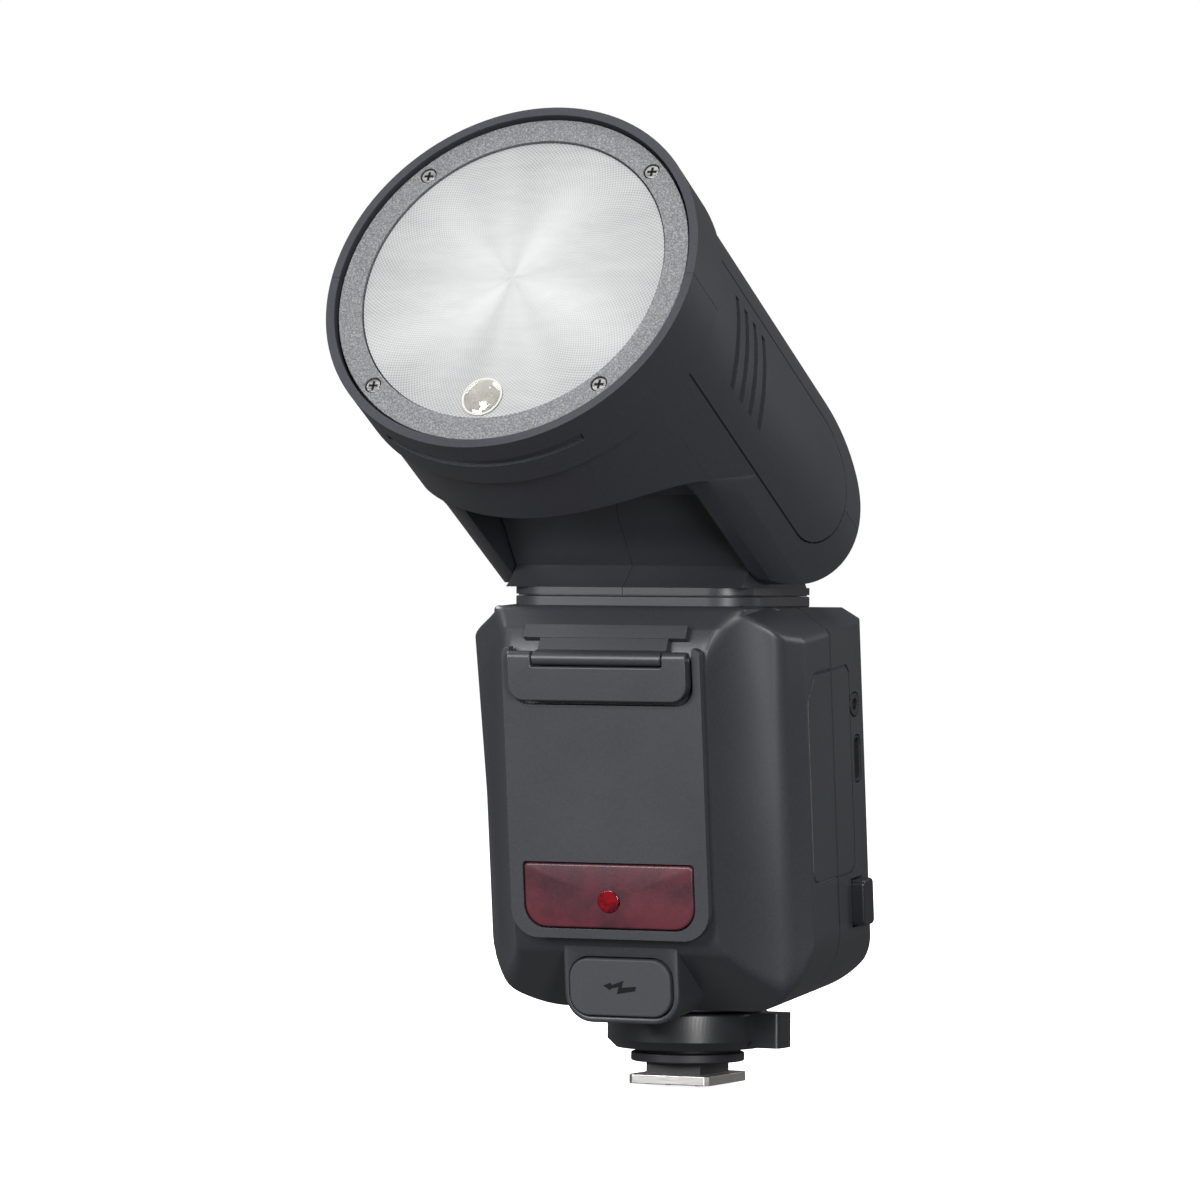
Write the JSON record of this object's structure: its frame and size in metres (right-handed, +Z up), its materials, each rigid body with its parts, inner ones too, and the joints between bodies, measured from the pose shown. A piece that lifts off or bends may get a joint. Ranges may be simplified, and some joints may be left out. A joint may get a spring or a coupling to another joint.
{
  "type": "speedlight flash",
  "caption": "Round-head hot-shoe flash with tilting and panning head, frosted lens, side battery, rear display and locking shoe foot.",
  "frame": {"origin": "centre of the underside of the shoe foot plate", "axes": "+Z up out of the shoe, -Y towards the lens side, +X across the body on the socket side"},
  "size_m": [0.08, 0.1278, 0.2024],
  "materials": {
    "shell": "fine moulded grain, charcoal",
    "head_plastic": "satin fine grain, charcoal",
    "turret_plastic": "fine grain, charcoal",
    "bezel_grey": "sparkling fine-textured grey paint",
    "nickel": "bright nickel plate",
    "contact_gold": "gold-plated contacts",
    "black_plastic": "plain black nylon",
    "satin_black": "satin black",
    "rubber_black": "soft matt rubber",
    "battery_case": "fine moulded grain, charcoal",
    "maroon_window": "dark red translucent plastic",
    "red_lens": "bright red moulded lens",
    "frosted_lens": "frosted with fine concentric dimples",
    "display_glass": "dark clear cover",
    "display": "reflective display stack",
    "board": "solder resist",
    "white_plastic": "plain white",
    "mirror_finish": "bright anodised",
    "tube_glass": "clear quartz",
    "lamp_lens": "clear moulded dome",
    "motor_steel": "plain steel",
    "sleeve": "shrink sleeve"
  },
  "bodies": {
    "flash_body": {"front_cover": "shell", "rear_cover": "shell", "front_panel": "shell", "af_window": "maroon_window", "af_lens": "red_lens", "hinge_bracket": "shell", "cover_pin": "nickel", "accessory_port": "black_plastic", "power_port": "black_plastic", "battery_bay": "black_plastic", "main_board": "board", "capacitor": "sleeve", "key_board": "board", "lcd_module": "display", "lcd_window": "display_glass", "sync_jack": "black_plastic", "usb_port": "black_plastic", "foot_plate": "nickel", "contact_block": "black_plastic", "contact_pins": "contact_gold", "foot_hub": "black_plastic", "foot_boss": "black_plastic", "collar_plate": "shell"},
    "foot_lock_ring": {"lock_ring": "satin_black"},
    "foot_lock_pin": {"lock_pin": "nickel"},
    "battery_pack": {"battery": "battery_case"},
    "latch": {"battery_latch": "shell"},
    "cover_flap": {"accessory_cover": "shell"},
    "port_plug": {"port_cover": "rubber_black"},
    "turret": {"turret_left": "turret_plastic", "turret_right": "turret_plastic", "pan_retainer": "black_plastic", "tilt_shaft": "nickel"},
    "head": {"head_upper_shell": "head_plastic", "head_lower_shell": "head_plastic", "side_panel_left": "head_plastic", "side_panel_right": "head_plastic", "bezel_ring": "bezel_grey", "bezel_screws": "nickel", "front_lens": "frosted_lens", "zoom_front_plate": "white_plastic", "zoom_rear_plate": "white_plastic", "guide_rods": "nickel", "zoom_motor": "motor_steel", "modelling_lamp": "lamp_lens"},
    "zoom_unit": {"zoom_carriage": "white_plastic", "reflector": "mirror_finish", "flash_tube": "tube_glass"},
    "zoom_screw": {"lead_screw": "motor_steel"},
    "dial": {"select_dial": "satin_black"},
    "centre_key": {"set_button": "satin_black"},
    "mode_key": {"mode_button": "satin_black"},
    "test_key": {"test_button": "satin_black"},
    "switch": {"power_switch": "satin_black"},
    "side_key": {"side_button": "satin_black"},
    "function_key_1": {"function_button_1": "satin_black"},
    "function_key_2": {"function_button_2": "satin_black"},
    "function_key_3": {"function_button_3": "satin_black"},
    "function_key_4": {"function_button_4": "satin_black"}
  },
  "joints": [
    {"name": "turret_pan", "type": "hinge", "parent": "flash_body", "child": "turret", "pos_m": [0, -0.014, 0.1028], "axis": [0, 0, 1], "range_deg": [-180, 150]},
    {"name": "head_tilt", "type": "hinge", "parent": "turret", "child": "head", "pos_m": [0, -0.0211, 0.1279], "axis": [-1, 0, 0], "range_deg": [-36.8, 90]},
    {"name": "zoom_travel", "type": "slide", "parent": "head", "child": "zoom_unit", "axis": [0, 0.8678, -0.497], "range_m": [0, 0.008]},
    {"name": "zoom_screw_turn", "type": "hinge", "parent": "head", "child": "zoom_screw", "pos_m": [0, -0.05033, 0.17748], "axis": [0, -0.8678, 0.497], "range_deg": [0, 721]},
    {"name": "foot_lock_turn", "type": "hinge", "parent": "flash_body", "child": "foot_lock_ring", "pos_m": [0, 0, 0.0114], "axis": [0, 0, 1], "range_deg": [0, 60]},
    {"name": "foot_lock_drop", "type": "slide", "parent": "flash_body", "child": "foot_lock_pin", "axis": [0, 0, -1], "range_m": [0, 0.00161]},
    {"name": "battery_pull", "type": "slide", "parent": "flash_body", "child": "battery_pack", "axis": [-1, 0, 0], "range_m": [0, 0.064]},
    {"name": "latch_slide", "type": "slide", "parent": "flash_body", "child": "latch", "axis": [0, 0.1045, -0.9945], "range_m": [0, 0.0016], "stiffness_N_per_m": 300, "springref_m": -0.0006},
    {"name": "cover_flip", "type": "hinge", "parent": "flash_body", "child": "cover_flap", "pos_m": [0, -0.04658, 0.08993], "axis": [-1, 0, 0], "range_deg": [0, 100]},
    {"name": "port_plug_pull", "type": "slide", "parent": "flash_body", "child": "port_plug", "axis": [0, -0.9945, -0.1045], "range_m": [0, 0.008]},
    {"name": "dial_turn", "type": "hinge", "parent": "flash_body", "child": "dial", "pos_m": [0, 0.01516, 0.04021], "axis": [0, 0.9945, 0.1045], "continuous": true},
    {"name": "centre_key_press", "type": "slide", "parent": "flash_body", "child": "centre_key", "axis": [0, -0.9945, -0.1045], "range_m": [0, 0.0007], "stiffness_N_per_m": 800, "springref_m": -0.0002},
    {"name": "mode_key_press", "type": "slide", "parent": "flash_body", "child": "mode_key", "axis": [0, -0.9945, -0.1045], "range_m": [0, 0.0006], "stiffness_N_per_m": 800, "springref_m": -0.0002},
    {"name": "test_key_press", "type": "slide", "parent": "flash_body", "child": "test_key", "axis": [0, -0.9945, -0.1045], "range_m": [0, 0.0006], "stiffness_N_per_m": 800, "springref_m": -0.0002},
    {"name": "switch_slide", "type": "slide", "parent": "flash_body", "child": "switch", "axis": [1, 0, 0], "range_m": [0, 0.0042]},
    {"name": "side_key_press", "type": "slide", "parent": "flash_body", "child": "side_key", "axis": [-1, 0, 0], "range_m": [0, 0.0012], "stiffness_N_per_m": 800, "springref_m": -0.0002},
    {"name": "function_key_1_press", "type": "slide", "parent": "flash_body", "child": "function_key_1", "axis": [0, -0.9945, -0.1045], "range_m": [0, 0.0006], "stiffness_N_per_m": 800, "springref_m": -0.0002},
    {"name": "function_key_2_press", "type": "slide", "parent": "flash_body", "child": "function_key_2", "axis": [0, -0.9945, -0.1045], "range_m": [0, 0.0006], "stiffness_N_per_m": 800, "springref_m": -0.0002},
    {"name": "function_key_3_press", "type": "slide", "parent": "flash_body", "child": "function_key_3", "axis": [0, -0.9945, -0.1045], "range_m": [0, 0.0006], "stiffness_N_per_m": 800, "springref_m": -0.0002},
    {"name": "function_key_4_press", "type": "slide", "parent": "flash_body", "child": "function_key_4", "axis": [0, -0.9945, -0.1045], "range_m": [0, 0.0006], "stiffness_N_per_m": 800, "springref_m": -0.0002}
  ],
  "couplings": [
    {"joint": "zoom_screw_turn", "follows": "zoom_travel", "rad_per_m": 1570.8},
    {"joint": "foot_lock_drop", "follows": "foot_lock_turn", "m_per_rad": 0.0015279}
  ]
}
